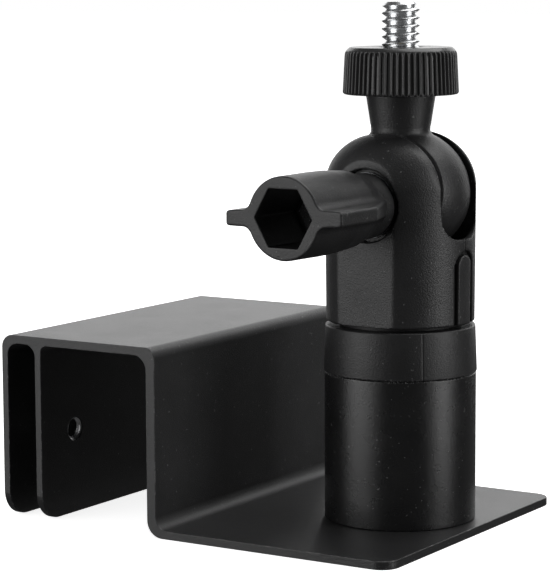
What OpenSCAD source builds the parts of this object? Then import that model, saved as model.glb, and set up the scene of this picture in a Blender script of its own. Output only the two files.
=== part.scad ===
// Slip-over hook bracket with a swivel camera head, about 75 x 57 x 86 mm.
// Origin: the middle of the foot's underside. X along the bracket profile, Y along its extrusion, Z up.

/* [View] */
// Which sub-part to show, or all of them

/* [Bracket] */
// Width across the hook, outer leg to wall outer face
hook_width = 31.1; // [24:0.1:45]
// Height from the foot underside to the top face
bracket_height = 31.0; // [26:0.1:45]
// Length of the extrusion
bracket_length = 57.2; // [50:0.1:80]
// Thickness of the two legs
leg_thick = 1.25; // [1:0.05:2]
// Thickness of the upright wall
wall_thick = 1.75; // [1.2:0.05:2.5]
// Thickness of the top plate
top_thick = 1.5; // [1.2:0.05:2.5]
// Thickness of the foot
foot_thick = 1.4; // [1.2:0.05:2.5]
// Clear width of the slip-over slot between the legs
leg_gap = 5.6; // [4.5:0.1:8]
// Radius of the rounded leg corners
leg_corner_r = 4.6; // [2:0.1:6]
// Outer bend radius of the profile corners
bend_r = 2.3; // [1.8:0.1:4]
// Outer radius where the wall turns into the foot
heel_r = 2.8; // [2:0.1:4.5]
// Fillet under the top plate at the wall
inner_bend_r = 1.8; // [0.5:0.1:3]
// Fillet under the top plate at the inner leg
leg_fillet_r = 1.2; // [0.5:0.1:3]
// Fillets at the closed end of the slip-over slot
slot_fillet_r = 2.0; // [0.5:0.1:2.2]
// Radius of the foot corners seen from above
foot_corner_r = 3.0; // [1:0.1:5]
// Distance from the wall outer face to the pan axis
post_from_wall = 28.5; // [20:0.1:40]
// Distance from the front edge of the bracket to the pan axis
post_from_front = 30.1; // [22:0.1:40]
// Length of the foot, wall outer face to free edge
foot_length = 43.5; // [38:0.1:60]
// Height of the tapped hole in the inner leg
leg_hole_z = 14.4; // [8:0.1:20]
// Distance of the tapped hole from the front edge
leg_hole_y = 9.3; // [7:0.1:20]
// Thread diameter of the tapped hole in the inner leg
leg_hole_d = 4.0; // [3:0.1:6]

/* [Post and pan joint] */
// Diameter of the spacer post
post_d = 25.0; // [22:0.1:32]
// Height of the spacer post
post_height = 24.5; // [20:0.1:45]
// Diameter of the collar where it meets the post
collar_d_low = 25.3; // [22:0.1:33]
// Diameter of the collar at its top
collar_d_top = 24.7; // [21:0.1:32]
// Height of the collar
collar_height = 7.8; // [5:0.1:12]
// Diameter of the spigot that centres the collar in the post
spigot_d = 14.0; // [12:0.1:16]
// Depth of the spigot
spigot_depth = 2.0; // [1:0.1:4]
// Height of the gap between collar and fork, filled by the friction washer
pan_gap = 0.65; // [0.4:0.05:1]
// Diameter of the pan friction washer
pan_washer_d = 20.0; // [16:0.1:22]
// Thread diameter of the pan screw and the foot screw
screw_d = 6.0; // [5:0.5:6]
// Length of the pan screw under its head
pan_screw_length = 25.0; // [20:1:30]
// Head diameter of the pan screw
pan_head_d = 10.5; // [9:0.1:11]
// Head height of the pan screw
pan_head_h = 3.3; // [2.5:0.1:3.5]
// Thickness of the spring washer under the pan screw head
spring_thick = 0.6; // [0.4:0.05:1]
// Length of the foot screw
foot_screw_length = 10.0; // [8:1:10]
// Head diameter of the countersunk foot screw
foot_head_d = 11.3; // [10:0.1:12]

/* [Fork] */
// Angle of the head about the pan axis as set
pan_rest = -1.5; // [-180:0.5:180]
// Diameter of the fork at its foot
fork_d_low = 24.4; // [22:0.1:31]
// Diameter of the fork at the ears
fork_d = 24.7; // [22:0.1:32]
// Height of the tilt axis above the fork foot
tilt_height = 19.6; // [18.5:0.05:24]
// Rise of the ears above the tilt axis
ear_r = 11.7; // [10.5:0.1:14]
// Radius of the soft rounding over the ears
ear_round = 9.3; // [5:0.1:10]
// Clear width of the slot between the ears
slot_width = 11.0; // [9:0.1:12]
// Distance of the flat facet from the pan axis
facet_y = 11.1; // [10.4:0.1:11.6]
// Width of the arched side panels
panel_width = 3.4; // [2.8:0.1:5]
// Width of the groove around the side panels
panel_groove = 1.2; // [0.6:0.1:1.5]
// Depth of the groove around the side panels
panel_depth = 1.2; // [0.6:0.1:1.5]
// Height of the top of the groove above the fork foot
panel_top = 12.1; // [10:0.1:13]
// Visible seam between the two halves
seam_gap = 0.12; // [0.04:0.02:0.3]
// Diameter of the two dowels through the halves
dowel_d = 2.2; // [1.5:0.1:3]
// Length of the dowels
dowel_length = 10.0; // [8:0.5:12]

/* [Tongue and neck] */
// Radius of the crowned tongue about the tilt axis
tongue_r = 12.0; // [10:0.1:12]
// Radius of the relieved lower half of the tongue
tongue_low_r = 11.3; // [9:0.1:12]
// Height of the centre of that lower half above the tilt axis
tongue_low_lift = 2.2; // [0:0.1:3]
// Clearance between the tongue and the round slot floor
tongue_floor_gap = 0.3; // [0.3:0.05:0.6]
// Gap on each side of the tongue, filled by the friction discs
tongue_gap = 0.55; // [0.4:0.05:0.8]
// Diameter of the neck at its foot
neck_d_low = 9.4; // [8:0.1:9.8]
// Diameter of the neck under the lock ring
neck_d_top = 11.0; // [9.8:0.1:12]
// Height of the neck top above the tilt axis
neck_top = 17.35; // [15.5:0.05:24]

/* [Camera screw and lock ring] */
// Major diameter of the camera screw, 1/4 inch
camera_screw_d = 6.35; // [6.3:0.01:6.4]
// Length of the camera screw above the neck
camera_screw_out = 15.0; // [12:0.1:20]
// Height of the lock ring
ring_height = 7.65; // [5:0.05:10]
// Diameter of the lock ring at the bottom, over the ribs
ring_d_low = 18.9; // [16:0.1:24]
// Diameter of the lock ring at the shoulder, over the ribs
ring_d_top = 18.2; // [15.5:0.1:23]
// Height of the chamfer on top of the lock ring
ring_chamfer = 0.6; // [0.3:0.1:1]
// Number of ribs around the lock ring
ring_ribs = 60; // [40:1:72]
// Diameter of one rib
rib_d = 0.6; // [0.4:0.05:0.9]

/* [Clamp knob] */
// Distance of the knob end face from the pan axis
knob_reach = 35.0; // [31:0.1:42]
// Diameter of the knob body
knob_d = 13.0; // [12:0.1:16]
// Diameter of the knob neck
knob_neck_d = 10.6; // [9.6:0.1:11.4]
// Diameter of the round recess in the facet
recess_d = 11.8; // [11.7:0.1:13]
// Depth of the round recess in the facet
recess_depth = 1.6; // [1:0.1:2.2]
// Reach of each wing from the knob axis
wing_reach = 10.4; // [8:0.1:14]
// Length of the straight outer edge of each wing
wing_flat = 10.3; // [4:0.1:14]
// Wing thickness at the tip
wing_tip = 2.7; // [1.5:0.1:3]
// Wing thickness at the root
wing_root = 3.2; // [2:0.1:4.5]
// Width across flats of the hexagon socket at the knob end
socket_flats = 9.0; // [8.5:0.1:9.6]
// Thread diameter of the tilt bolt
tilt_bolt_d = 5.0; // [4:0.5:5]
// Width across flats of the tilt bolt head and nut
hex_flats = 8.0; // [7:0.1:8]
// Length of the tilt bolt under its head
tilt_bolt_length = 32.0; // [29:1:38]

/* [Hidden] */
$fn = 96;
eps = 0.01;
fit = 0.05; // running fit of a bore on a screw or pin
seat = 0.02; // two flat faces that lie on each other
body_gap = 0.3; // clear space round a moving piece
head_recess = 0.1; // the foot screw head sits this far inside the foot
socket_deep = 2.0;
washer_thick = 1.0;
disc_d = 18.0; // tilt friction discs
hub_d = 15.0;
hub_rise = 0.5; // the hub ends this far above the rim of the slot floor
nut_thick = 4.0;
bolt_head_h = 3.5;
stud_root = 9.0; // the camera screw starts this far above the tilt axis
stud_d = 5.8; // its thread inside the neck and the ring, under the mount's diameter
stud_flange_d = 8.4;
stud_flange_h = 2.0;
screw_chamfer = 0.6;
insert_d = 10.0;
insert_h = 6.0;
dowel_x = 9.3;
dowel_z = 4.0; // height of the dowels above the fork foot
slot_floor_r = tongue_r + tongue_floor_gap;
wall_x = -foot_length / 2;
foot_end_x = foot_length / 2;
left_x = wall_x - hook_width;
front_y = -bracket_length / 2;
back_y = bracket_length / 2;
post_x = wall_x + post_from_wall;
post_y = front_y + post_from_front;
inner_leg_x = left_x + leg_thick + leg_gap;
post_top = foot_thick + post_height;
collar_top = post_top + collar_height;
fork_z = collar_top + pan_gap;
tilt_z = fork_z + tilt_height;
neck_top_z = tilt_z + neck_top;
ring_z = neck_top_z + fit;
ring_top_z = ring_z + ring_height;
fork_r = fork_d / 2;
floor_z = tilt_z - slot_floor_r;
hub_top_z = tilt_z - sqrt(slot_floor_r * slot_floor_r - hub_d * hub_d / 4) + hub_rise;
pan_seat_z = floor_z - fit - pan_head_h - spring_thick - 2 * seat;
pan_head_z = pan_seat_z + spring_thick + 2 * seat;
tongue_half = slot_width / 2 - tongue_gap;
neck_low = min(neck_d_low, 2 * tongue_half - 4 * fit);
disc_thick = tongue_gap - fit;
recess_y = facet_y - recess_depth;
bolt_seat = tilt_bolt_length - (fork_r - body_gap);
knob_back = recess_y + washer_thick + 2 * seat;
neck_run = 4.0; // straight neck of the knob, then its flare
flare_run = 8.0;
knob_edge = 0.4;
wing_in = knob_neck_d / 2;

// ---- shapes used by several sub-parts ----

// moves a piece from the origin to the pan axis
module on_axis() translate([post_x, post_y, 0]) children();

// the head as it stands on the pan axis
module head() on_axis() rotate([0, 0, pan_rest]) children();

// a cylinder along Y, from y0 to y1 at height z
module along_y(d, y0, y1, z) translate([0, y0, z]) rotate([-90, 0, 0]) cylinder(d = d, h = y1 - y0);

// a hexagon along Y with its flats above and below
module hex_y(flats, y0, y1, z)
  translate([0, y0, z]) rotate([-90, 0, 0]) cylinder(d = flats / cos(30), h = y1 - y0, $fn = 6);

// removes a square corner of radius r at the origin, towards -x and -y, leaving the round
module corner_cut(r) difference() {
  translate([-r, -r]) square(2 * r);
  translate([r, r]) circle(r);
  translate([0, r]) square(r + eps);
  translate([r, 0]) square(r + eps);
}

// fills an inside corner at the origin with a fillet, towards +x and +y
module corner_fill(r) difference() {
  translate([-eps, -eps]) square(r + eps);
  translate([r, r]) circle(r);
}

// round-cornered outer skin of the profile
module bracket_profile() {
  difference() {
    union() {
      translate([left_x, 0]) square([leg_thick, bracket_height]);
      translate([inner_leg_x, 0]) square([leg_thick, bracket_height]);
      translate([left_x, bracket_height - top_thick]) square([hook_width, top_thick]);
      translate([wall_x - wall_thick, 0]) square([wall_thick, bracket_height]);
      translate([wall_x - wall_thick, 0])
        square([wall_thick + foot_length, foot_thick]);
      translate([wall_x, foot_thick]) corner_fill(bend_r);
      translate([wall_x - wall_thick, bracket_height - top_thick]) rotate(180) corner_fill(inner_bend_r);
      translate([inner_leg_x + leg_thick, bracket_height - top_thick]) rotate(-90) corner_fill(leg_fillet_r);
      translate([inner_leg_x, bracket_height - top_thick]) rotate(180) corner_fill(slot_fillet_r);
      translate([left_x + leg_thick, bracket_height - top_thick]) rotate(-90) corner_fill(slot_fillet_r);
    }
    translate([left_x, bracket_height]) rotate(-90) corner_cut(bend_r);
    translate([wall_x, bracket_height]) rotate(180) corner_cut(bend_r);
    translate([wall_x - wall_thick, 0]) corner_cut(heel_r);
  }
}

module hook_bracket() color("#1c1c1c") difference() {
  translate([0, back_y, 0]) rotate([90, 0, 0]) linear_extrude(bracket_length) bracket_profile();
  // rounded lower corners of both legs
  for (y = [front_y, back_y])
    translate([left_x - 1, y, 0]) rotate([90, 0, 90])
      linear_extrude(leg_thick * 2 + leg_gap + 2)
        mirror([y == back_y ? 1 : 0, 0]) corner_cut(leg_corner_r);
  // rounded free corners of the foot
  for (y = [front_y, back_y])
    translate([foot_end_x, y, -1])
      linear_extrude(foot_thick + 2)
        mirror([1, 0]) mirror([0, y == back_y ? 1 : 0]) corner_cut(foot_corner_r);
  // tapped hole in the inner leg
  translate([inner_leg_x - 1, front_y + leg_hole_y, leg_hole_z]) rotate([0, 90, 0])
    cylinder(d = leg_hole_d, h = leg_thick + 2);
  on_axis() foot_head_space(seat);
}

// space of the countersunk screw head, grown by c
module foot_head_space(c) {
  cone_h = (foot_head_d - screw_d) / 2;
  translate([0, 0, -1]) cylinder(d = foot_head_d + 2 * c, h = head_recess + 1);
  translate([0, 0, head_recess - eps])
    cylinder(d1 = foot_head_d + 2 * c, d2 = screw_d + 2 * c, h = cone_h + eps);
}

module foot_screw() color("#8a8d90") on_axis() difference() {
  union() {
    translate([0, 0, head_recess])
      cylinder(d1 = foot_head_d, d2 = screw_d, h = (foot_head_d - screw_d) / 2);
    translate([0, 0, head_recess + 1]) cylinder(d = screw_d, h = foot_screw_length - 1);
  }
  translate([0, 0, -1]) cylinder(d = screw_d * 2 / 3 / cos(30), h = head_recess + 1 + socket_deep, $fn = 6);
}

module spacer_post() color("#202020") on_axis() difference() {
  translate([0, 0, foot_thick + seat]) cylinder(d = post_d, h = post_height - seat);
  foot_head_space(seat);
  translate([0, 0, foot_thick - 1]) cylinder(d = screw_d, h = post_height + 2);
  translate([0, 0, post_top - spigot_depth - fit]) cylinder(d = spigot_d + 2 * fit, h = spigot_depth + 1);
}

module swivel_collar() color("#262626") on_axis() difference() {
  union() {
    translate([0, 0, post_top + seat])
      cylinder(d1 = collar_d_low, d2 = collar_d_top, h = collar_height - seat);
    translate([0, 0, post_top - spigot_depth]) cylinder(d = spigot_d, h = spigot_depth + 1);
  }
  translate([0, 0, post_top - spigot_depth - 1])
    cylinder(d = screw_d + 2 * fit, h = spigot_depth + collar_height + 2);
}

module pan_washer() color("#d8d8d4") on_axis() difference() {
  translate([0, 0, collar_top + seat]) cylinder(d = pan_washer_d, h = pan_gap - 2 * seat);
  translate([0, 0, collar_top - 1]) cylinder(d = screw_d + 2 * fit, h = pan_gap + 2);
}

module spring_washer() color("#8a8d90") on_axis() difference() {
  translate([0, 0, pan_seat_z + seat]) cylinder(d = pan_head_d - 0.5, h = spring_thick);
  translate([0, 0, pan_seat_z - 1]) cylinder(d = screw_d + 2 * fit, h = spring_thick + 2);
}

module pan_screw() color("#8a8d90") on_axis() difference() {
  union() {
    translate([0, 0, pan_head_z]) cylinder(d = pan_head_d, h = pan_head_h);
    translate([0, 0, pan_head_z - pan_screw_length]) cylinder(d = screw_d, h = pan_screw_length + 1);
  }
  translate([0, 0, pan_head_z + pan_head_h - socket_deep])
    cylinder(d = screw_d * 2 / 3 / cos(30), h = socket_deep + 1, $fn = 6);
}

// ---- fork ----

// outer shape of the fork before the slot is cut
module fork_solid() intersection() {
  rotate_extrude() {
    polygon([[0, fork_z], [fork_d_low / 2, fork_z], [fork_r, tilt_z + ear_r - ear_round],
      [fork_r - ear_round, tilt_z + ear_r], [0, tilt_z + ear_r]]);
    intersection() {
      translate([fork_r - ear_round, tilt_z + ear_r - ear_round]) circle(ear_round);
      translate([0, tilt_z + ear_r - ear_round]) square(ear_round + fork_r);
    }
  }
  union() {
    along_y(2 * ear_r, -fork_d, fork_d, tilt_z);
    translate([-fork_d, -fork_d, fork_z - 1]) cube([2 * fork_d, 2 * fork_d, tilt_height + 1]);
  }
  translate([-fork_d, -facet_y, fork_z - 1]) cube([2 * fork_d, facet_y + fork_d, 2 * fork_d]);
}

// the slot: ball-shaped floor for the crowned tongue, round channel for the neck at full tilt
module fork_slot() {
  intersection() {
    translate([0, 0, tilt_z]) sphere(slot_floor_r);
    translate([-fork_d, -slot_width / 2, fork_z]) cube([2 * fork_d, slot_width, tilt_height]);
  }
  translate([-fork_d, 0, tilt_z]) rotate([0, 90, 0]) cylinder(d = slot_width, h = 2 * fork_d);
  translate([-fork_d, -slot_width / 2, tilt_z]) cube([2 * fork_d, slot_width, fork_d]);
}

// arched bar across the fork: half width w, top at height t
module arch_bar(w, t) rotate([90, 0, 90]) linear_extrude(2 * fork_d, center = true) {
  translate([0, t - w]) circle(w);
  translate([-w, fork_z - 1]) square([2 * w, t - w - fork_z + 1]);
}

module fork_body() difference() {
  fork_solid();
  fork_slot();
}

// everything both halves have cut away
module fork_half_cuts() {
  arch_bar(panel_width / 2 + seat, fork_z + panel_top - panel_groove + seat);
  difference() {
    arch_bar(panel_width / 2 + panel_groove, fork_z + panel_top);
    cylinder(r = fork_r - panel_depth, h = 2 * tilt_z);
  }
  translate([0, 0, fork_z - 1]) cylinder(d = hub_d + 2 * seat, h = hub_top_z + seat - fork_z + 1);
  translate([-fork_d, -seam_gap / 2, fork_z - 1]) cube([2 * fork_d, seam_gap, fork_d]);
  for (s = [-1, 1]) translate([s * dowel_x, 0, 0])
    along_y(dowel_d, -dowel_length / 2, dowel_length / 2, fork_z + dowel_z);
  along_y(tilt_bolt_d + 2 * fit, -fork_d, fork_d, tilt_z);
}

module fork_front() color("#333333") head() difference() {
  intersection() {
    fork_body();
    translate([-fork_d, -fork_d, fork_z - 1]) cube([2 * fork_d, fork_d, 2 * fork_d]);
  }
  fork_half_cuts();
  along_y(recess_d, -fork_d, -recess_y, tilt_z);
}

module fork_rear() color("#333333") head() difference() {
  intersection() {
    fork_body();
    translate([-fork_d, 0, fork_z - 1]) cube([2 * fork_d, fork_d, 2 * fork_d]);
  }
  fork_half_cuts();
  hex_y(hex_flats + 2 * seat, fork_r - body_gap - nut_thick, fork_d, tilt_z);
}

module fork_core() color("#2b2b2b") head() difference() {
  intersection() {
    fork_body();
    union() {
      arch_bar(panel_width / 2, fork_z + panel_top - panel_groove);
      translate([0, 0, fork_z]) cylinder(d = hub_d, h = hub_top_z - fork_z);
    }
  }
  translate([0, 0, fork_z - 1]) cylinder(d = screw_d + 2 * fit, h = tilt_height);
  translate([0, 0, pan_seat_z]) cylinder(d = pan_head_d + 2 * body_gap, h = tilt_height);
  for (s = [-1, 1]) translate([s * dowel_x, 0, 0])
    along_y(dowel_d, -fork_d, fork_d, fork_z + dowel_z);
}

module fork_dowels() color("#8a8d90") head() for (s = [-1, 1]) translate([s * dowel_x, 0, 0])
  along_y(dowel_d, -dowel_length / 2, dowel_length / 2, fork_z + dowel_z);

module tilt_nut() color("#8a8d90") head() difference() {
  hex_y(hex_flats, fork_r - body_gap - nut_thick + seat, fork_r - body_gap, tilt_z);
  along_y(tilt_bolt_d + 2 * fit, 0, fork_d, tilt_z);
}

// a friction disc whose near face is y0 away from the middle plane
module friction_disc(y0) difference() {
  along_y(disc_d, y0, y0 + disc_thick, tilt_z);
  along_y(tilt_bolt_d + 2 * fit, -fork_d, fork_d, tilt_z);
}

module friction_disc_front() color("#b9b9b4") head() friction_disc(-tongue_half - tongue_gap + seat);

module friction_disc_rear() color("#b9b9b4") head() friction_disc(tongue_half + tongue_gap - seat - disc_thick);

// ---- tongue, neck, camera screw, lock ring ----

module tilt_tongue() color("#2b2b2b") head() difference() {
  union() {
    intersection() {
      translate([0, 0, tilt_z]) sphere(tongue_r);
      along_y(2 * tongue_low_r, -tongue_half, tongue_half, tilt_z + tongue_low_lift);
    }
    translate([0, 0, tilt_z + stud_root]) cylinder(d = neck_low, h = tongue_r - stud_root);
    translate([0, 0, tilt_z + tongue_r - eps])
      cylinder(d1 = neck_low, d2 = neck_d_top, h = neck_top - tongue_r + eps);
  }
  along_y(tilt_bolt_d + 2 * fit, -fork_d, fork_d, tilt_z);
  translate([0, 0, tilt_z + stud_root]) cylinder(d = stud_d, h = neck_top - stud_root + 1);
  stud_flange();
}

// the flange that anchors the camera screw in the neck
module stud_flange() translate([0, 0, tilt_z + stud_root + 1]) cylinder(d = stud_flange_d, h = stud_flange_h);

module camera_screw() color("#c9ccd0") head() {
  top = neck_top_z + camera_screw_out;
  translate([0, 0, tilt_z + stud_root]) cylinder(d = stud_d, h = ring_top_z - tilt_z - stud_root + eps);
  translate([0, 0, ring_top_z]) cylinder(d = camera_screw_d, h = top - screw_chamfer - ring_top_z);
  translate([0, 0, top - screw_chamfer])
    cylinder(d1 = camera_screw_d, d2 = camera_screw_d - 2 * screw_chamfer, h = screw_chamfer);
  stud_flange();
}

module lock_ring() color("#232323") head() difference() {
  union() {
    translate([0, 0, ring_z])
      cylinder(d1 = ring_d_low - rib_d / 2, d2 = ring_d_top - rib_d / 2, h = ring_height - ring_chamfer);
    translate([0, 0, ring_top_z - ring_chamfer])
      cylinder(d1 = ring_d_top - rib_d / 2, d2 = ring_d_top - rib_d / 2 - 2 * ring_chamfer, h = ring_chamfer);
    for (i = [0:ring_ribs - 1]) rotate([0, 0, i * 360 / ring_ribs])
      translate([ring_d_low / 2 - rib_d / 2, 0, ring_z])
        rotate([0, -atan((ring_d_low - ring_d_top) / 2 / ring_height), 0])
          cylinder(d = rib_d, h = ring_height - ring_chamfer, $fn = 16);
  }
  translate([0, 0, ring_z - 1]) cylinder(d = insert_d, h = insert_h + 1);
  translate([0, 0, ring_z]) cylinder(d = camera_screw_d + 2 * body_gap, h = ring_height + 1);
}

module ring_insert() color("#b08d4a") head() difference() {
  translate([0, 0, ring_z]) cylinder(d = insert_d, h = insert_h);
  translate([0, 0, ring_z - 1]) cylinder(d = stud_d + 2 * fit, h = ring_height + 1);
}

// ---- clamp knob ----

module knob_washer() color("#9a9da0") head() difference() {
  along_y(knob_neck_d + 2 * seat, -recess_y - seat - washer_thick, -recess_y - seat, tilt_z);
  along_y(tilt_bolt_d + 2 * fit, -fork_d, 0, tilt_z);
}

// half of the wing pair in plan, and its slightly wedged section
module knob_wing() {
  intersection() {
    translate([0, 0, tilt_z - wing_root]) linear_extrude(2 * wing_root)
      polygon([[0, -knob_reach], [wing_reach, -knob_reach], [wing_reach, wing_flat - knob_reach],
        [wing_in, -knob_back - neck_run], [0, -knob_back - neck_run]]);
    translate([0, 0, tilt_z]) rotate([90, 0, 0]) linear_extrude(knob_reach)
      polygon([[0, -wing_root / 2], [wing_reach, -wing_tip / 2], [wing_reach, wing_tip / 2],
        [0, wing_root / 2]]);
  }
}

module tilt_knob() color("#2b2b2b") head() difference() {
  union() {
    translate([0, 0, tilt_z]) rotate([90, 0, 0]) rotate_extrude()
      polygon([[0, knob_back], [knob_neck_d / 2, knob_back], [knob_neck_d / 2, knob_back + neck_run],
        [knob_d / 2, knob_back + flare_run], [knob_d / 2, knob_reach - knob_edge],
        [knob_d / 2 - knob_edge, knob_reach], [0, knob_reach]]);
    knob_wing();
    mirror([1, 0, 0]) knob_wing();
  }
  hex_y(socket_flats, -knob_reach - 1, -bolt_seat - bolt_head_h, tilt_z);
  hex_y(hex_flats, -bolt_seat - bolt_head_h - 1, -bolt_seat, tilt_z);
  along_y(tilt_bolt_d, -knob_reach, 0, tilt_z);
}

module tilt_bolt() color("#c9ccd0") head() {
  hex_y(hex_flats, -bolt_seat - bolt_head_h, -bolt_seat, tilt_z);
  along_y(tilt_bolt_d, -bolt_seat - 1, -bolt_seat + tilt_bolt_length, tilt_z);
}

hook_bracket();
foot_screw();
spacer_post();
swivel_collar();
pan_screw();
pan_washer();
spring_washer();
fork_front();
fork_rear();
fork_core();
fork_dowels();
tilt_nut();
friction_disc_front();
friction_disc_rear();
tilt_tongue();
camera_screw();
lock_ring();
ring_insert();
tilt_knob();
tilt_bolt();
knob_washer();
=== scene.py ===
import math
import bmesh
import bpy
import numpy as np
from mathutils import Matrix, Vector


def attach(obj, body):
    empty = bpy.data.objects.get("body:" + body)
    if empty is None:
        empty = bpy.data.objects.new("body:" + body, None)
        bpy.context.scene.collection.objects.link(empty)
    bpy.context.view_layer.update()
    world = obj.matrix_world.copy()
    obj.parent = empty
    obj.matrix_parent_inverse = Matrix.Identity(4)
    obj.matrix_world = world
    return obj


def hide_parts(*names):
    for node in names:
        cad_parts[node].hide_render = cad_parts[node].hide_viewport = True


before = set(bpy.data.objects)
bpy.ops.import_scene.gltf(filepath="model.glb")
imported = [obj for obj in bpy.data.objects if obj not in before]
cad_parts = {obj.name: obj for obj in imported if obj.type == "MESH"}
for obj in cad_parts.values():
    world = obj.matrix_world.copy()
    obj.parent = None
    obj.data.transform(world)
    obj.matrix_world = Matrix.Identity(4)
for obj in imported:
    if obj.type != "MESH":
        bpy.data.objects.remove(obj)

for name in ("Cube", "Light", "Camera"):
    if name in bpy.data.objects:
        bpy.data.objects.remove(bpy.data.objects[name])
bpy.context.view_layer.update()

MM = 0.001
# ---- sizes, in millimetres: a few differ from the solids by up to 0.3 ----
# Bracket: the outer leg, the inner leg's two faces, the wall's two faces and the foot's end, along X.
LEFT, IN0, IN1, WALL0, WALL1, END = -52.85, -46.0, -44.75, -23.5, -21.75, 21.75
# Its legs' thickness, its two sides along Y, the top plate's two faces and the foot's top.
LEG, FRONT, BACK, HIGH, UNDER, FOOT = 1.25, -28.6, 28.6, 31.2, 29.75, 1.4
# Its rounded corners and softened edges, the hole in the inner leg, and the hole for the foot screw's head.
LEG_CORNER, FOOT_CORNER, EDGE = 4.6, 3.0, 0.13
HOLE_Y, HOLE_Z, HOLE_R, FOOT_HOLE_R = FRONT + 9.3, 14.4, 2.0, 5.67
# The pan axis, and the head's turn about it at rest, in degrees.
PAN_X, PAN_Y, PAN_REST = 6.75, 1.5, -1.5
# Post, collar and the spigot between them.
POST_R, POST_TOP, COLLAR_TOP = 12.5, 25.9, 33.7
COLLAR_LOW, COLLAR_HIGH = 12.65, 12.35
SPIGOT_R, SPIGOT_END = 7.0, 23.9
# Heights up the head: the fork's foot, the tilt axis, the neck, the lock ring and the screw.
FORK_Z, TILT_Z, NECK_TOP, RING_Z, RING_TOP, SCREW_TOP = 34.35, 53.95, 71.3, 71.35, 79.0, 86.3
# Fork: its radius below and above, its ears, and the flat and round recess on the knob's side.
FORK_LOW, FORK_R, EAR_R, EAR_ROUND = 12.2, 12.35, 11.8, 9.3
FACET, RECESS_R, RECESS_Y = 11.1, 5.9, 9.5
# Its slot's half width and floor radius, the panels where the halves meet, and half the gap there.
SLOT, FLOOR_R = 5.5, 12.3
PANEL_TOP, PANEL_HALF, WINDOW_HALF, PARTING = 12.1, 2.9, 2.0, 0.06
# Its core: the hub with the play round it, and the bore, counterbore and seat of the pan screw.
HUB_R, HUB_TOP, PLAY = 7.5, 44.7, 0.02
PAN_BORE, PAN_HEAD_R, PAN_SEAT = 3.05, 5.55, 37.66
# The tilt bolt's bore, and the hexagonal pocket of its nut.
BOLT_BORE, NUT_FLAT, NUT_FLOOR = 2.55, 4.02, 8.05
# Tongue: its radius, half thickness, lifted lower edge and chamfer, then the neck and the stud's bore.
TONGUE_R, TONGUE_H, LOW_R, LOW_LIFT, CHAMFER = 12.0, 4.86, 11.65, 2.2, 0.9
NECK_R, NECK_FLARE, STUD_BORE, STUD_FLOOR = 4.87, 0.83, 3.1, 9.0
# Knob, by distance in front of the head's axis: its two ends, and its socket's step and floor.
KNOB_BACK, KNOB_END, SOCKET_STEP, SOCKET_FLOOR = 10.54, 34.97, 23.45, 19.95
# The barrel's radius and the wings' length, each after its distance.
KNOB_BARREL = (
    (10.5, 5.3), (14.2, 5.3), (15.0, 5.4), (16.5, 5.8), (18.2, 6.2), (23, 6.55), (27, 6.6), (35, 6.52))
KNOB_WINGS = ((10.5, 5.3), (14.5, 6.1), (24.7, 10.6), (35, 10.6))
# The wings' half thickness at root and tip and their slope, and the socket's half width.
WING_ROOT, WING_TIP, WING_LEAN, SOCKET_FLAT = 1.65, 1.2, 0.035, 4.5
# The camera's turn to the right of the object's front, in degrees.
VIEW_TURN = 32.2

HEAD = Matrix.Translation((PAN_X * MM, PAN_Y * MM, 0)) @ Matrix.Rotation(math.radians(PAN_REST), 4, "Z")
AXIS = Matrix.Translation((PAN_X * MM, PAN_Y * MM, 0))
HERE = Matrix.Identity(4)


# ---- making meshes ----
def shade(mesh, angle):
    """Shades the mesh smoothly, but for edges sharper than angle degrees where one is given."""
    mesh.polygons.foreach_set("use_smooth", [True] * len(mesh.polygons))
    if angle:
        mesh.set_sharp_from_angle(angle=math.radians(angle))


def enrol(obj, body, nodes):
    """Gives the piece to a body, in place of the CAD nodes it stands for."""
    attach(obj, body)
    if nodes:
        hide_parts(*nodes)


def make(name, verts, faces, place, body, material, nodes=(), angle=None):
    """A finished piece from points in millimetres, moved to its place in the frame."""
    mesh = bpy.data.meshes.new(name)
    mesh.from_pydata([tuple(v) for v in np.asarray(verts) * MM], [], [tuple(f) for f in faces])
    mesh.transform(place)
    mesh.validate()
    shade(mesh, angle)
    obj = bpy.data.objects.new(name, mesh)
    bpy.context.scene.collection.objects.link(obj)
    obj.data.materials.append(material)
    enrol(obj, body, nodes)


def lathe(profile, steps):
    """Revolves (radius, height) points about Z, closed at both ends where the radius is 0."""
    verts, faces, rows = [], [], []
    for r, z in profile:
        if r < 1e-6:
            rows.append([len(verts)])
            verts.append((0, 0, z))
        else:
            rows.append(list(range(len(verts), len(verts) + steps)))
            for i in range(steps):
                a = 2 * math.pi * i / steps
                verts.append((r * math.cos(a), r * math.sin(a), z))
    for lo, hi in zip(rows, rows[1:]):
        for i in range(steps):
            j = (i + 1) % steps
            if len(lo) == 1:
                faces.append((lo[0], hi[j], hi[i]))
            elif len(hi) == 1:
                faces.append((lo[i], lo[j], hi[0]))
            else:
                faces.append((lo[i], lo[j], hi[j], hi[i]))
    return verts, faces


def rounded(points, radii):
    """An open (radius, height) path with each inner corner rounded by its radius."""
    steps = 5
    out = [points[0]]
    for a, b, c, r in zip(points, points[1:], points[2:], radii):
        if r <= 0:
            out.append(b)
            continue
        a, b, c = (np.array(p, float) for p in (a, b, c))
        u, v = (a - b) / np.linalg.norm(a - b), (c - b) / np.linalg.norm(c - b)
        half = math.acos(max(-1, min(1, float(u @ v)))) / 2
        run = r / math.tan(half)
        p, q = b + u * run, b + v * run
        centre = b + (u + v) / np.linalg.norm(u + v) * (r / math.sin(half))
        for k in range(steps + 1):
            t = k / steps
            w = (p - centre) * (1 - t) + (q - centre) * t
            out.append(tuple(centre + w / np.linalg.norm(w) * r))
    out.append(points[-1])
    return out


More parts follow.
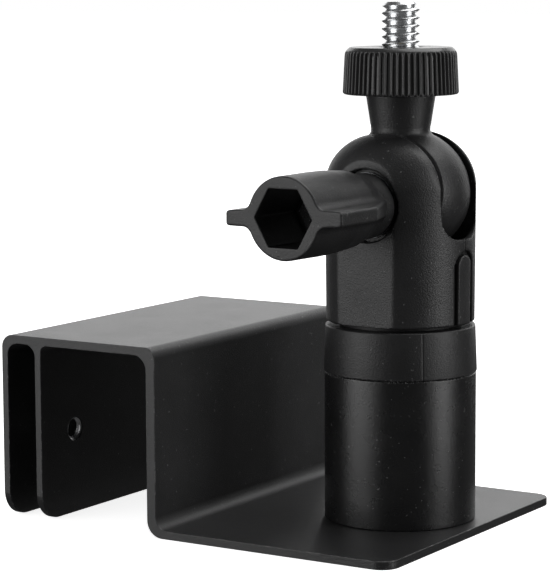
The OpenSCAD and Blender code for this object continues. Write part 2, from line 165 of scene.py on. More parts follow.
def smax(a, b, r):
    """The larger of two distances, with the corner where they meet rounded by r."""
    return np.minimum(np.maximum(a, b), -r) + np.hypot(np.maximum(a + r, 0), np.maximum(b + r, 0))


def smin(a, b, r):
    """The smaller of two distances, with a fillet of radius r where they meet."""
    return -smax(-a, -b, r)


def nets(field, low, high, h):
    """The zero surface of a distance field, as quads whose corners lie on it."""
    ax = [np.arange(lo, hi + h, h) for lo, hi in zip(low, high)]
    n = [len(a) for a in ax]
    values = np.empty(n)
    for i, x in enumerate(ax[0]):
        y, z = np.meshgrid(ax[1], ax[2], indexing="ij")
        values[i] = field(np.full(y.shape, x), y, z)
    inside = values < 0
    corner = [(i, j, k) for i in (0, 1) for j in (0, 1) for k in (0, 1)]
    cut = [slice(0, -1), slice(1, None)]
    count = sum(inside[cut[i], cut[j], cut[k]].astype(np.int8) for i, j, k in corner)
    cells = np.argwhere((count > 0) & (count < 8))
    ids = np.full([m - 1 for m in n], -1, np.int64)
    ids[tuple(cells.T)] = np.arange(len(cells))
    at = [values[cells[:, 0] + i, cells[:, 1] + j, cells[:, 2] + k] for i, j, k in corner]
    total, hits = np.zeros((len(cells), 3)), np.zeros(len(cells))
    for a in range(8):
        for b in range(a + 1, 8):
            ca, cb = np.array(corner[a], float), np.array(corner[b], float)
            if np.abs(ca - cb).sum() != 1:
                continue
            crossed = (at[a] < 0) != (at[b] < 0)
            t = np.where(crossed, at[a] / np.where(crossed, at[a] - at[b], 1), 0)
            total += np.where(crossed[:, None], ca + t[:, None] * (cb - ca), 0)
            hits += crossed
    verts = np.array([a[0] for a in ax]) + (cells + total / hits[:, None]) * h
    eps = 1e-3
    for _ in range(3):
        x, y, z = verts.T
        d = field(x, y, z)
        g = np.stack([
            field(x + eps, y, z) - field(x - eps, y, z),
            field(x, y + eps, z) - field(x, y - eps, z),
            field(x, y, z + eps) - field(x, y, z - eps)], 1) / (2 * eps)
        step = d / np.maximum((g * g).sum(1), 0.2)
        verts = verts - g * np.clip(step, -h / 2, h / 2)[:, None]
    faces = []
    for axis in range(3):
        other = [a for a in range(3) if a != axis]
        sl = [slice(1, -1)] * 3
        sl[axis] = slice(0, -1)
        first = inside[tuple(sl)]
        sl[axis] = slice(1, None)
        second = inside[tuple(sl)]
        where = np.argwhere(first != second)
        up = first[tuple(where.T)]
        base = where.copy()
        base[:, other[0]] += 1
        base[:, other[1]] += 1
        ring = []
        for du, dv in ((-1, -1), (0, -1), (0, 0), (-1, 0)):
            c = base.copy()
            c[:, other[0]] += du
            c[:, other[1]] += dv
            ring.append(ids[tuple(c.T)])
        quad = np.stack(ring, 1)
        flip = up if axis != 1 else ~up
        quad[~flip] = quad[~flip][:, ::-1]
        faces.append(quad)
    return verts, np.concatenate(faces)


# ---- materials ----
# Where most values of a noise texture lie.
NOISE_SPAN = (0.3, 0.7)


def nodes_of(name):
    """A new material with its node tree and its shader."""
    mat = bpy.data.materials.new(name)
    mat.use_nodes = True
    tree = mat.node_tree
    return mat, tree, tree.nodes["Principled BSDF"]


def add(tree, kind, **values):
    """A new node with the given settings or input values."""
    node = tree.nodes.new(kind)
    for key, value in values.items():
        if hasattr(node, key):
            setattr(node, key, value)
        else:
            node.inputs[key.replace("_", " ")].default_value = value
    return node


def spread_to(tree, value, low, high, to_low=0.0, to_high=1.0):
    """Maps value from low..high to to_low..to_high, clamped."""
    node = add(tree, "ShaderNodeMapRange")
    for key, number in (("From Min", low), ("From Max", high), ("To Min", to_low), ("To Max", to_high)):
        node.inputs[key].default_value = number
    tree.links.new(value, node.inputs["Value"])
    return node.outputs["Result"]


def combine(tree, operation, first, second):
    """One Math node with two linked inputs."""
    node = add(tree, "ShaderNodeMath", operation=operation)
    tree.links.new(first, node.inputs[0])
    tree.links.new(second, node.inputs[1])
    return node.outputs[0]


def black(name, base, rough, spread, grain, height, seam=None, coat=0.0, edge_highlights=False):
    """A dark finish: slight mottling, specks of dust, uneven gloss and a fine grain in the surface."""
    mat, tree, bsdf = nodes_of(name)
    link = tree.links.new
    place = add(tree, "ShaderNodeTexCoord")
    fine = add(tree, "ShaderNodeTexNoise", Scale=grain, Detail=3.0, Roughness=0.6)
    wide = add(tree, "ShaderNodeTexNoise", Scale=140.0, Detail=5.0, Roughness=0.6)
    link(place.outputs["Object"], fine.inputs["Vector"])
    link(place.outputs["Object"], wide.inputs["Vector"])
    colour = add(tree, "ShaderNodeMix", data_type="RGBA", blend_type="MULTIPLY")
    colour.inputs[0].default_value = 1.0
    bluish = base * 1.03
    colour.inputs[6].default_value = (base, base, bluish, 1)
    link(spread_to(tree, wide.outputs["Fac"], *NOISE_SPAN, 0.85, 1.15), colour.inputs[7])
    speck = add(tree, "ShaderNodeTexNoise", Scale=2100.0, Detail=1.0)
    link(place.outputs["Object"], speck.inputs["Vector"])
    grey = spread_to(tree, speck.outputs["Fac"], 0.73, 0.78, 0.0, 0.4)
    if seam:
        grey = seam_dust(tree, place, fine, grey, seam)
    # painted highlight: lighter grey in broken patches along the sharp edges
    if edge_highlights:
        grey = painted_edge_highlight(tree, place, grey)
    dusty = add(tree, "ShaderNodeMix", data_type="RGBA")
    dusty.inputs[7].default_value = (0.3, 0.3, 0.3, 1)
    link(grey, dusty.inputs[0])
    link(colour.outputs[2], dusty.inputs[6])
    link(dusty.outputs[2], bsdf.inputs["Base Color"])
    gloss = spread_to(tree, wide.outputs["Fac"], *NOISE_SPAN, rough - spread, rough + spread)
    link(gloss, bsdf.inputs["Roughness"])
    bump = add(tree, "ShaderNodeBump", Strength=height, Distance=0.00006)
    link(fine.outputs["Fac"], bump.inputs["Height"])
    link(bump.outputs["Normal"], bsdf.inputs["Normal"])
    bsdf.inputs["Coat Weight"].default_value = coat
    return mat


def seam_dust(tree, place, grain, grey, height):
    """Dust caught in patches along a joint at one height, in metres."""
    link = tree.links.new
    parts = add(tree, "ShaderNodeSeparateXYZ")
    link(place.outputs["Object"], parts.inputs[0])
    near = add(tree, "ShaderNodeMath", operation="SUBTRACT")
    near.inputs[1].default_value = height
    link(parts.outputs["Z"], near.inputs[0])
    gap = add(tree, "ShaderNodeMath", operation="ABSOLUTE")
    link(near.outputs[0], gap.inputs[0])
    band = spread_to(tree, gap.outputs[0], 0.0001, 0.00035, 1.0, 0.0)
    patch = spread_to(tree, grain.outputs["Fac"], 0.54, 0.63, 0.0, 0.6)
    return combine(tree, "MAXIMUM", grey, combine(tree, "MULTIPLY", band, patch))


def painted_edge_highlight(tree, place, grey):
    """Painted highlight along sharp edges: lighter grey in broken patches."""
    link = tree.links.new
    round_off = add(tree, "ShaderNodeBevel", samples=6, Radius=0.00022)
    true = add(tree, "ShaderNodeNewGeometry")
    turn = add(tree, "ShaderNodeVectorMath", operation="DOT_PRODUCT")
    link(round_off.outputs["Normal"], turn.inputs[0])
    link(true.outputs["True Normal"], turn.inputs[1])
    edge = spread_to(tree, turn.outputs["Value"], 0.985, 0.93)
    highlight_breakup = add(tree, "ShaderNodeTexNoise", Scale=900.0, Detail=4.0, Roughness=0.7)
    link(place.outputs["Object"], highlight_breakup.inputs["Vector"])
    patch = spread_to(tree, highlight_breakup.outputs["Fac"], 0.5, 0.6, 0.0, 0.8)
    return combine(tree, "MAXIMUM", grey, combine(tree, "MULTIPLY", edge, patch))


def metal(name, colour, rough):
    """Bare metal with fine scratchy variation in roughness and bump."""
    mat, tree, bsdf = nodes_of(name)
    link = tree.links.new
    bsdf.inputs["Base Color"].default_value = (*colour, 1)
    bsdf.inputs["Metallic"].default_value = 1.0
    place = add(tree, "ShaderNodeTexCoord")
    noise = add(tree, "ShaderNodeTexNoise", Scale=900.0, Detail=4.0, Roughness=0.6)
    link(place.outputs["Object"], noise.inputs["Vector"])
    gloss = spread_to(tree, noise.outputs["Fac"], *NOISE_SPAN, rough * 0.75, rough * 1.3)
    link(gloss, bsdf.inputs["Roughness"])
    bump = add(tree, "ShaderNodeBump", Strength=0.15, Distance=0.00003)
    link(noise.outputs["Fac"], bump.inputs["Height"])
    link(bump.outputs["Normal"], bsdf.inputs["Normal"])
    return mat


# The bracket's sharp edges carry a painted highlight in broken patches.
M_BRACKET = black("bracket_coat", 0.019, rough=0.35, spread=0.02, grain=4600.0, height=0.85, edge_highlights=True)
M_POST = black("post_satin", 0.009, rough=0.27, spread=0.03, grain=4000.0, height=0.8, seam=POST_TOP * MM)
M_PLASTIC = black("head_grain", 0.018, rough=0.4, spread=0.04, grain=3600.0, height=1.0)
M_COLLAR = black("collar_grain", 0.014, rough=0.42, spread=0.04, grain=3600.0, height=1.0, seam=POST_TOP * MM)
M_RING = black("ring_grain", 0.024, rough=0.36, spread=0.05, grain=3800.0, height=0.35, coat=0.3)
M_DISC = black("friction_smooth", 0.02, rough=0.55, spread=0.05, grain=3000.0, height=0.2)
M_STEEL = metal("screw_steel", (0.33, 0.34, 0.35), 0.35)
M_ZINC = metal("bright_zinc", (0.84, 0.85, 0.86), 0.26)
M_BARE = metal("bare_aluminium", (0.62, 0.62, 0.63), 0.35)
M_BRASS = metal("insert_brass", (0.7, 0.52, 0.25), 0.28)


def finish_kept_parts():
    """Gives the CAD pieces that keep their own mesh a material each."""
    finishes = (
        (M_STEEL, ("foot_screw", "pan_screw", "spring_washer", "fork_dowels", "tilt_nut", "knob_washer")),
        (M_BRASS, ("ring_insert",)),
        (M_ZINC, ("tilt_bolt",)),
        (M_DISC, ("pan_washer", "friction_disc_front", "friction_disc_rear")))
    for material, names in finishes:
        for name in names:
            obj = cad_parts[name]
            obj.data.materials.clear()
            obj.data.materials.append(material)


# ---- bracket ----
def arc(cx, cz, r, a0, a1):
    """Points on an arc from a0 to a1 degrees."""
    steps = 10
    turns = [math.radians(a0 + (a1 - a0) * k / steps) for k in range(steps + 1)]
    return [(cx + r * math.cos(a), cz + r * math.sin(a)) for a in turns]


def circle(cx, cy, r, steps):
    """Points all the way round a circle."""
    turns = np.linspace(0, 2 * math.pi, steps + 1)[:-1]
    return [(cx + r * math.cos(a), cy + r * math.sin(a)) for a in turns]


def bracket_outline():
    """The section in (x, z): outer leg, top plate, wall and foot, with the inner leg under the top."""
    bend, crown, heel, inner, fillet, slot = 2.1, 1.8, 2.8, 2.4, 1.2, 2.0
    path = [(LEFT, 0)] + arc(LEFT + bend, HIGH - bend, bend, 180, 90)
    path += arc(WALL1 - crown, HIGH - crown, crown, 90, 0)
    path += arc(WALL1 + bend, FOOT + bend, bend, 180, 270)
    path += [(END, FOOT), (END, 0)]
    path += arc(WALL0 + heel, heel, heel, 270, 180)
    path += arc(WALL0 - inner, UNDER - inner, inner, 0, 90)
    path += arc(IN1 + fillet, UNDER - fillet, fillet, 90, 180)
    path += [(IN1, 0), (IN0, 0)]
    path += arc(IN0 - slot, UNDER - slot, slot, 0, 90)
    path += arc(LEFT + LEG + slot, UNDER - slot, slot, 90, 180)
    path += [(LEFT + LEG, 0)]
    return path


def leg_corner(y, s):
    """What rounds the lower corner of both legs at the side y, in (y, z). s points into the bracket."""
    r = LEG_CORNER
    turns = np.linspace(0, math.pi / 2, 13)
    curve = [(y + s * (r - r * math.cos(a)), r - r * math.sin(a)) for a in turns]
    return [(y - s, -1), (y - s, r)] + curve + [(y + s * r, -1)]


def foot_corner(y, s):
    """What rounds the foot's end corner at the side y, in (x, y). s points into the bracket."""
    r = FOOT_CORNER
    turns = np.linspace(0, math.pi / 2, 11)
    curve = [(END - r + r * math.sin(a), y + s * (r - r * math.cos(a))) for a in turns]
    return [(END + 1, y - s), (END - r, y - s)] + curve + [(END + 1, y + s * r)]


def solid(name, verts, faces):
    """A closed plain mesh with its faces turned outwards."""
    mesh = bpy.data.meshes.new(name)
    mesh.from_pydata([tuple(v) for v in np.asarray(verts, float) * MM], [], [tuple(f) for f in faces])
    bm = bmesh.new()
    bm.from_mesh(mesh)
    bmesh.ops.recalc_face_normals(bm, faces=bm.faces)
    bm.to_mesh(mesh)
    bm.free()
    obj = bpy.data.objects.new(name, mesh)
    bpy.context.scene.collection.objects.link(obj)
    return obj


def prism(points, axis, lo, hi):
    """A prism of the 2D outline along an axis: x takes (y, z), y takes (x, z), z takes (x, y)."""
    n = len(points)
    order = {"x": (2, 0, 1), "y": (0, 2, 1), "z": (0, 1, 2)}[axis]
    verts = [[(u, v, w)[k] for k in order] for w in (lo, hi) for u, v in points]
    faces = [tuple(range(n)), tuple(range(2 * n - 1, n - 1, -1))]
    faces += [(i, i + n, (i + 1) % n + n, (i + 1) % n) for i in range(n)]
    return verts, faces


def carve(obj, cutters):
    """Takes the cutters out of obj and leaves plain mesh."""
    for cutter in cutters:
        mod = obj.modifiers.new("cut", "BOOLEAN")
        mod.operation, mod.solver, mod.object = "DIFFERENCE", "EXACT", cutter
    settle(obj)
    for cutter in cutters:
        bpy.data.objects.remove(cutter)


def settle(obj):
    """Replaces the mesh of obj with what its modifiers give."""
    bpy.context.view_layer.update()
    graph = bpy.context.evaluated_depsgraph_get()
    mesh = bpy.data.meshes.new_from_object(obj.evaluated_get(graph))
    obj.modifiers.clear()
    obj.data = mesh


def soften(obj, width):
    """Bevels every sharp edge by width millimetres."""
    mod = obj.modifiers.new("edge", "BEVEL")
    mod.width, mod.segments, mod.limit_method = width * MM, 2, "ANGLE"
    mod.angle_limit = math.radians(32)
    mod.miter_outer = "MITER_ARC"
    settle(obj)


def make_bracket():
    """The bent aluminium bracket, with rounded corners, a hole in the inner leg and one in the foot."""
    obj = solid("bracket_extrusion", *prism(bracket_outline(), "y", FRONT, BACK))
    cutters = []
    for y, s in ((FRONT, 1), (BACK, -1)):
        cutters.append(solid("cutter", *prism(leg_corner(y, s), "x", LEFT - 1, IN1 + 1)))
        cutters.append(solid("cutter", *prism(foot_corner(y, s), "z", -1, FOOT + 1)))
    hole = circle(HOLE_Y, HOLE_Z, HOLE_R, 48)
    cutters.append(solid("cutter", *prism(hole, "x", IN0 - 1, IN1 + 1)))
    head = circle(PAN_X, PAN_Y, FOOT_HOLE_R, 64)
    cutters.append(solid("cutter", *prism(head, "z", -1, FOOT + 1)))
    carve(obj, cutters)
    soften(obj, EDGE)
    obj.data.materials.clear()
    obj.data.materials.append(M_BRACKET)
    shade(obj.data, 50)
    even = obj.modifiers.new("even", "WEIGHTED_NORMAL")
    even.mode, even.weight, even.keep_sharp = "FACE_AREA", 100, True
    settle(obj)
    enrol(obj, "base", ["hook_bracket"])


def thread_tube(root, crest, pitch, z0, z1, per_pitch, steps):
    """A threaded wall about Z, as rings of points that run from root to crest and back in each pitch."""
    flat, ease = 0.12, 0.35
    rows = int(round((z1 - z0) / pitch * per_pitch)) + 1
    verts = np.zeros((rows, steps, 3))
    for i in range(rows):
        z = z0 + (z1 - z0) * i / (rows - 1)
        for j in range(steps):
            a = 2 * math.pi * j / steps
            t = ((z - z0) / pitch - a / (2 * math.pi)) % 1.0
            v = 1 - abs(2 * t - 1)
            v = min(1.0, max(0.0, (v - flat * 0.5) / (1 - flat)))
            v = v * v * (3 - 2 * v) * ease + v * (1 - ease)
            r = root + (crest - root) * v
            verts[i, j] = (r * math.cos(a), r * math.sin(a), z)
    return verts


def grid_faces(rows, steps, flip=False):
    """Quads that join each ring of points to the next."""
    faces = []
    for low in range(0, (rows - 1) * steps, steps):
        for j in range(steps):
            k = (j + 1) % steps
            face = (low + j, low + k, low + steps + k, low + steps + j)
            faces.append(face[::-1] if flip else face)
    return faces


def make_leg_thread():
    """The tapped wall of the hole in the inner leg, fading out at both faces of the leg."""
    steps, root, depth, inset, fade = 64, HOLE_R - 0.02, 0.38, 0.06, 0.22
    grid = thread_tube(root, root - depth, 0.7, inset, LEG - inset, per_pitch=16, steps=steps)
    for ring in grid:
        near = min(ring[0, 2], LEG - ring[0, 2]) / fade
        if near < 1:
            r = np.hypot(ring[:, 0], ring[:, 1])
            ring[:, :2] *= (np.maximum(r, root - depth * near) / r)[:, None]
    verts = grid.reshape(-1, 3)
    verts = np.stack([verts[:, 2] + IN0, verts[:, 0] + HOLE_Y, verts[:, 1] + HOLE_Z], 1)
    faces = grid_faces(len(grid), steps, flip=True)
    make("leg_hole_thread", verts, faces, HERE, "base", M_BARE)


# ---- post and collar ----
def make_post():
    """The black tube on the foot, open at the top for the collar's spigot."""
    gap = 0.05
    foot, bore, floor = FOOT + PLAY, SPIGOT_R + gap, SPIGOT_END - gap
    path = [(0, foot), (POST_R, foot), (POST_R, POST_TOP), (bore, POST_TOP), (bore, floor), (0, floor)]
    verts, faces = lathe(rounded(path, [0.2, 0.22, 0.1, 0]), 160)
    make("post_tube", verts, faces, AXIS, "base", M_POST, ["spacer_post"], angle=35)


def make_collar():
    """The collar on the post, slightly tapered, with a spigot below and a mould line down its side."""
    seat = POST_TOP + PLAY
    path = [(0, SPIGOT_END), (SPIGOT_R, SPIGOT_END), (SPIGOT_R, seat), (COLLAR_LOW, seat),
            (COLLAR_HIGH, COLLAR_TOP), (PAN_BORE, COLLAR_TOP), (0, COLLAR_TOP)]
    verts, faces = lathe(rounded(path, [0.1, 0, 0.28, 0.3, 0]), 720)
    verts = np.array(verts)
    line, half, depth, wall = -44.0, 0.6, 0.006, 12
    off = np.abs(np.degrees(np.arctan2(verts[:, 1], verts[:, 0])) - line)
    part = (np.hypot(verts[:, 0], verts[:, 1]) > wall) & (off < half)
    verts[part, :2] *= 1 - depth * (1 - off[part, None] / half)
    make("collar_ring", verts, faces, AXIS, "base", M_COLLAR, ["swivel_collar"], angle=35)


# ---- fork: distance fields in millimetres about the head's axis, negative inside ----
def dome(x, y, z):
    """The round fork body with a rounded top edge."""
    rho = np.hypot(x, y)
    top = TILT_Z + EAR_R - EAR_ROUND
    r_at = FORK_LOW + (FORK_R - FORK_LOW) * np.clip((z - FORK_Z) / (top - FORK_Z), 0, 1)
    qx, qz = rho - (r_at - EAR_ROUND), z - top
    cap = np.hypot(np.maximum(qx, 0), np.maximum(qz, 0)) - EAR_ROUND
    d = np.where(qz > 0, cap, rho - r_at)
    return smax(d, FORK_Z - z, 0.25)


def outer(x, y, z):
    """The dome cut to round ears about the tilt axis, with the flat facet on the knob's side."""
    d = dome(x, y, z)
    over = z - TILT_Z
    sweep = np.where(over > 0, np.hypot(x, over) - EAR_R, np.abs(x) - EAR_R + over)
    d = smax(d, sweep, 1.0)
    return smax(d, -y - FACET, 0.15)


def slot_space(x, y, z):
    """The room between the ears: a ball floor for the tongue, a round channel and all that is above."""
    zz = z - TILT_Z
    curve, low = 3.8, 1.9
    disc = smax(np.sqrt(x * x + y * y + zz * zz) - FLOOR_R, np.abs(y) - SLOT, 0.3)
    channel = np.hypot(np.maximum(np.abs(y) - SLOT + curve, 0), np.maximum(-zz - low, 0)) - curve
    above = np.maximum(np.abs(y) - SLOT, -zz)
    return smin(np.minimum(disc, above), channel, 0.5)


def arch(y, z, half, top):
    """An upright panel of half width half with a round head that ends at top."""
    zz = z - (top - half)
    return np.where(zz > 0, np.hypot(y, zz) - half, np.abs(y) - half)


def hexagon(x, z, flat):
    """A hexagonal prism along Y, flat millimetres from its axis to each face."""
    return np.maximum(np.abs(z), np.abs(x) * math.cos(math.pi / 6) + np.abs(z) / 2) - flat


def fork_half(side):
    """One moulded half. side is -1 for the half with the knob, 1 for the rear half."""
    def field(x, y, z):
        zz = z - TILT_Z
        d = smax(outer(x, y, z), -slot_space(x, y, z), 0.15)
        d = smax(d, PARTING - side * y, 0.12)
        rho = np.hypot(x, y)
        groove = np.maximum(arch(y, z, PANEL_HALF, FORK_Z + PANEL_TOP), FORK_R - 0.75 - rho)
        d = smax(d, -groove, 0.12)
        d = np.maximum(d, -arch(y, z, WINDOW_HALF, FORK_Z + PANEL_TOP - 0.76))
        d = np.maximum(d, -np.maximum(rho - HUB_R - PLAY, z - HUB_TOP - PLAY))
        axis = np.hypot(x, zz)
        if side < 0:
            d = smax(d, -np.maximum(axis - RECESS_R, y + RECESS_Y), 0.2)
        else:
            d = smax(d, -np.maximum(hexagon(x, zz, NUT_FLAT), NUT_FLOOR - y), 0.2)
        return np.maximum(d, BOLT_BORE - axis)
    y0, y1 = (-11.6, 0.4) if side < 0 else (-0.4, 12.8)
    return nets(field, (-12.9, y0, FORK_Z - 0.4), (12.9, y1, TILT_Z + 12.3), 0.2)


def fork_core(x, y, z):
    """The core between the halves: the plate seen in their windows, and the hub round the pan screw."""
    d = smax(outer(x, y, z), -slot_space(x, y, z), 0.2)
    plate = arch(y, z, WINDOW_HALF - 0.04, FORK_Z + PANEL_TOP - 0.8)
    rho = np.hypot(x, y)
    hub = np.maximum(rho - HUB_R, z - HUB_TOP)
    d = smax(d, np.minimum(plate, hub), 0.15)
    d = np.maximum(d, PAN_BORE - rho)
    return np.maximum(d, -np.maximum(rho - PAN_HEAD_R, PAN_SEAT - z))


def make_fork():
    """The two halves and the core between them."""
    for side, name, node in ((-1, "fork_half_front", "fork_front"), (1, "fork_half_rear", "fork_rear")):
        verts, faces = fork_half(side)
        make(name, verts, faces, HEAD, "fork", M_PLASTIC, [node], angle=60)
    verts, faces = nets(fork_core, (-12.9, -8.0, FORK_Z - 0.4), (12.9, 8.0, FORK_Z + 12.0), 0.2)
    make("fork_core_insert", verts, faces, HEAD, "fork", M_PLASTIC, ["fork_core"], angle=60)


# ---- tongue ----
def tongue(x, y, z):
    """A slice of a ball in the slot, lifted below, with a chamfer in front and the neck on top."""
    zz = z - TILT_Z
    crown = np.sqrt(x * x + y * y + zz * zz) - TONGUE_R
    lift = np.sqrt(x * x + y * y + (zz - LOW_LIFT) ** 2) - LOW_R
    d = smax(smax(crown, lift, 1.0), np.abs(y) - TONGUE_H, 0.5)
    d = np.maximum(d, (crown - y - TONGUE_H + CHAMFER) * 0.7071)
    rho = np.hypot(x, y)
    r_at = NECK_R + NECK_FLARE * np.clip((zz - TONGUE_R) / (NECK_TOP - TILT_Z - TONGUE_R), 0, 1)
    neck = smax(rho - r_at, z - NECK_TOP, 0.2)
    neck = np.maximum(neck, 8 - zz)
    d = smin(d, neck, 0.5)
    d = np.maximum(d, BOLT_BORE - np.hypot(x, zz))
    return np.maximum(d, -np.maximum(rho - STUD_BORE, STUD_FLOOR - zz))


def make_tongue():
    """The tilting tongue with its neck, one piece."""
    verts, faces = nets(tongue, (-12.6, -6.0, TILT_Z - 12.6), (12.6, 6.0, NECK_TOP + 0.4), 0.2)
    make("tongue_neck", verts, faces, HEAD, "head", M_PLASTIC, ["tilt_tongue"], angle=60)


# ---- knob ----
def knob(x, y, z):
    """A round barrel with two wings that widen from the fork's side, and a stepped hexagonal socket."""
    zz, s = z - TILT_Z, -y
    axis = np.hypot(x, zz)
    r_at = np.interp(s, *zip(*KNOB_BARREL))
    reach = np.interp(s, *zip(*KNOB_WINGS))
    thick = WING_ROOT - (WING_ROOT - WING_TIP) * np.clip(np.abs(x) / 10.4, 0, 1)
    wing = smax(np.abs(zz - WING_LEAN * x) - thick, (np.abs(x) - reach) * 0.9, 0.5)
    d = smin(axis - r_at, np.maximum(wing, 14.5 - s), 1.1)
    d = smax(d, s - KNOB_END, 0.3)
    d = smax(d, KNOB_BACK - s, 0.3)
    d = smax(d, -np.maximum(hexagon(x, zz, SOCKET_FLAT), SOCKET_STEP - s), 0.12)
    d = np.maximum(d, -np.maximum(hexagon(x, zz, NUT_FLAT), SOCKET_FLOOR - s))
    return np.maximum(d, 2.5 - axis)


def make_knob():
    """The winged knob on the tilt bolt."""
    verts, faces = nets(knob, (-11.0, -35.4, TILT_Z - 7.0), (11.0, -10.2, TILT_Z + 7.0), 0.17)
    make("knob_winged", verts, faces, HEAD, "knob", M_PLASTIC, ["tilt_knob"], angle=60)


# ---- lock ring ----
def ring_profile():
    """The ring's section as (radius, height, how strongly the ribs stand out there)."""
    low, top = 9.42, 9.1
    foot, brow = RING_Z + 0.4, RING_TOP - 1.0
    profile = [(8.2, RING_Z, 0), (9.0, RING_Z, 0), (9.22, RING_Z + 0.06, 0), (9.3, RING_Z + 0.2, 0.6)]
    profile.append((low - 0.1, foot, 1))
    for k in range(1, 12):
        t = k / 12
        profile.append((low - 0.1 - (low - top) * t, foot + (brow - foot) * t, 1))
    profile += [(9.0, brow, 0.8), (8.98, brow + 0.2, 0.35), (8.95, brow + 0.35, 0), (8.9, brow + 0.45, 0),
                (8.75, brow + 0.61, 0), (8.5, brow + 0.85, 0), (8.4, brow + 0.93, 0), (8.25, brow + 0.99, 0)]
    floor = RING_TOP - 1.65
    profile += [(8.0, RING_TOP, 0), (3.9, RING_TOP, 0), (3.7, RING_TOP - 0.08, 0), (3.5, RING_TOP - 0.3, 0),
                (3.48, floor, 0), (5.0, floor, 0), (5.0, RING_Z, 0)]
    return profile


def make_ring():
    """The ribbed locking ring on the neck."""
    ribs, per_rib = 60, 10
    steps = ribs * per_rib
    share, sunk, stand = 0.55, 0.32, 0.46
    profile = ring_profile()
    verts = []
    for r, z, strength in profile:
        for j in range(steps):
            a = 2 * math.pi * j / steps
            w = abs(2 * (j % per_rib) / per_rib - 1)
            rib = max(0.0, 1 - (w / share) ** 2) ** 0.5 if w < share else 0.0
            rr = r - sunk * strength + stand * strength * rib
            verts.append((rr * math.cos(a), rr * math.sin(a), z))
    faces = grid_faces(len(profile), steps)
    last = (len(profile) - 1) * steps
    for j in range(steps):
        k = (j + 1) % steps
        faces.append((last + j, last + k, k, j))
    make("lock_ring_ribbed", verts, faces, HEAD, "ring", M_RING, ["lock_ring"], angle=50)


# ---- camera screw ----
def make_screw():
    """The threaded stud with a tapered start, and its plain shank and flange hidden in the neck."""
    steps, crest, lead = 96, 3.14, 0.75
    z0, root = RING_TOP - 2.25, TILT_Z + STUD_FLOOR
    grid = thread_tube(2.42, crest, 1.27, z0, SCREW_TOP, per_pitch=18, steps=steps)
    for ring in grid:
        limit = crest - max(0.0, ring[0, 2] - (SCREW_TOP - lead))
        for point in ring:
            r = math.hypot(point[0], point[1])
            if r > limit:
                point[:2] *= limit / r
    verts = list(grid.reshape(-1, 3))
    faces = grid_faces(len(grid), steps)
    top = (len(grid) - 1) * steps
    verts.append(np.array((0, 0, SCREW_TOP)))
    faces += [(top + j, top + (j + 1) % steps, len(verts) - 1) for j in range(steps)]
    base = len(verts)
    shank, flange = 2.9, 4.2
    path = [(0, root), (shank, root), (shank, root + 1), (flange, root + 1), (flange, root + 3)]
    path += [(shank, root + 3), (shank, z0 + 0.1)]
    hidden, hidden_faces = lathe(path, 48)
    verts += [np.array(v) for v in hidden]
    faces += [tuple(i + base for i in f) for f in hidden_faces]
    make("camera_thread", verts, faces, HEAD, "head", M_ZINC, ["camera_screw"], angle=50)


# ---- camera ----
def camera():
    """Stands at the photograph's viewing angle, a little above the object and to its right."""
    turn, rise, roll = math.radians(VIEW_TURN), math.radians(7.385), math.radians(-0.254)
    back = Vector((math.sin(turn) * math.cos(rise), -math.cos(turn) * math.cos(rise), math.sin(rise)))
    level = Vector((math.cos(turn), math.sin(turn), 0))
    upright = back.cross(level)
    right = level * math.cos(roll) + upright * math.sin(roll)
    up = upright * math.cos(roll) - level * math.sin(roll)
    corner = Vector((LEFT, FRONT, 0)) * MM
    across, above, away = 0.045678, 0.039058, 0.41383
    spot = corner + right * across + up * above + back * away
    data = bpy.data.cameras.new("camera")
    obj = bpy.data.objects.new("camera", data)
    bpy.context.scene.collection.objects.link(obj)
    obj.matrix_world = Matrix((
        (right.x, up.x, back.x, spot.x),
        (right.y, up.y, back.y, spot.y),
        (right.z, up.z, back.z, spot.z),
        (0, 0, 0, 1)))
    data.sensor_width = 36.0
    data.lens = 154.265
    data.clip_start, data.clip_end = 0.01, 20
    data.dof.use_dof = False
    bpy.context.scene.camera = obj


# ---- floor and light ----
def make_floor():
    """A white floor that glows a little less near the object, and neither lights nor shades it."""
    mesh = bpy.data.meshes.new("floor")
    mesh.from_pydata([(-4, -4, 0), (4, -4, 0), (4, 4, 0), (-4, 4, 0)], [], [(0, 1, 2, 3)])
    obj = bpy.data.objects.new("floor", mesh)
    bpy.context.scene.collection.objects.link(obj)
    mat, tree, bsdf = nodes_of("floor_pale")
    bsdf.inputs["Base Color"].default_value = (0.86, 0.86, 0.86, 1)
    bsdf.inputs["Roughness"].default_value = 0.9
    bsdf.inputs["Specular IOR Level"].default_value = 0.0
    bsdf.inputs["Emission Color"].default_value = (1, 1, 1, 1)
    place = add(tree, "ShaderNodeTexCoord")
    far = add(tree, "ShaderNodeVectorMath", operation="LENGTH")
    tree.links.new(place.outputs["Object"], far.inputs[0])
    glow = spread_to(tree, far.outputs["Value"], 0.06, 0.3, 0.85, 1.0)
    tree.links.new(glow, bsdf.inputs["Emission Strength"])
    mesh.materials.append(mat)
    obj.visible_diffuse = obj.visible_glossy = obj.visible_shadow = False


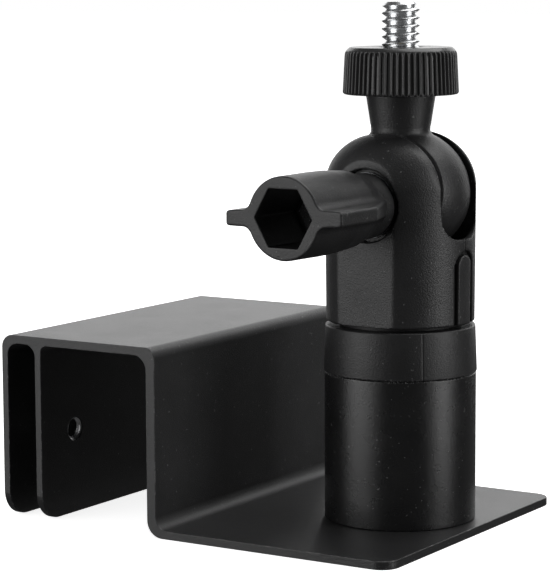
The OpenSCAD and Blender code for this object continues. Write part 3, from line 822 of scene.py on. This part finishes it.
def studio_world(fill):
    """White behind the object, with only a little light from it."""
    world = bpy.data.worlds.new("studio")
    bpy.context.scene.world = world
    world.use_nodes = True
    tree = world.node_tree
    dim = tree.nodes["Background"]
    dim.inputs["Color"].default_value = (1, 1, 1, 1)
    dim.inputs["Strength"].default_value = fill
    white = add(tree, "ShaderNodeBackground", Color=(1, 1, 1, 1), Strength=1.0)
    path = add(tree, "ShaderNodeLightPath")
    mix = add(tree, "ShaderNodeMixShader")
    surface = tree.nodes["World Output"].inputs["Surface"]
    tree.links.new(path.outputs["Is Camera Ray"], mix.inputs[0])
    tree.links.new(dim.outputs[0], mix.inputs[1])
    tree.links.new(white.outputs[0], mix.inputs[2])
    tree.links.new(mix.outputs[0], surface)


def soft_box(name, turn, rise, distance, wide, high, glow):
    """A soft box at turn degrees to the right of the camera's side and rise degrees up, sizes in metres."""
    side, lift = math.radians(VIEW_TURN + turn), math.radians(rise)
    aim = Vector((0, 0, 0.04))
    way = Vector((math.sin(side) * math.cos(lift), -math.cos(side) * math.cos(lift), math.sin(lift)))
    data = bpy.data.lights.new(name, "AREA")
    data.shape, data.size, data.size_y = "RECTANGLE", wide, high
    data.energy = glow * math.pi * wide * high
    obj = bpy.data.objects.new(name, data)
    bpy.context.scene.collection.objects.link(obj)
    obj.location = aim + way * distance
    obj.rotation_euler = (-way).to_track_quat("-Z", "Y").to_euler()
    obj.visible_camera = False


finish_kept_parts()
make_bracket()
make_leg_thread()
make_post()
make_collar()
make_fork()
make_tongue()
make_knob()
make_ring()
make_screw()

camera()
make_floor()
studio_world(0.075)
soft_box("left_box", turn=-66, rise=12, distance=0.7, wide=0.55, high=0.7, glow=2.3)
soft_box("right_box", turn=64, rise=12, distance=0.7, wide=0.3, high=0.7, glow=3.5)
soft_box("back_box", turn=172, rise=14, distance=1.0, wide=1.5, high=0.7, glow=1.25)
soft_box("top_box", turn=120, rise=66, distance=0.8, wide=0.7, high=0.7, glow=2.8)
bpy.context.scene.view_settings.view_transform = "Standard"

bpy.context.view_layer.update()
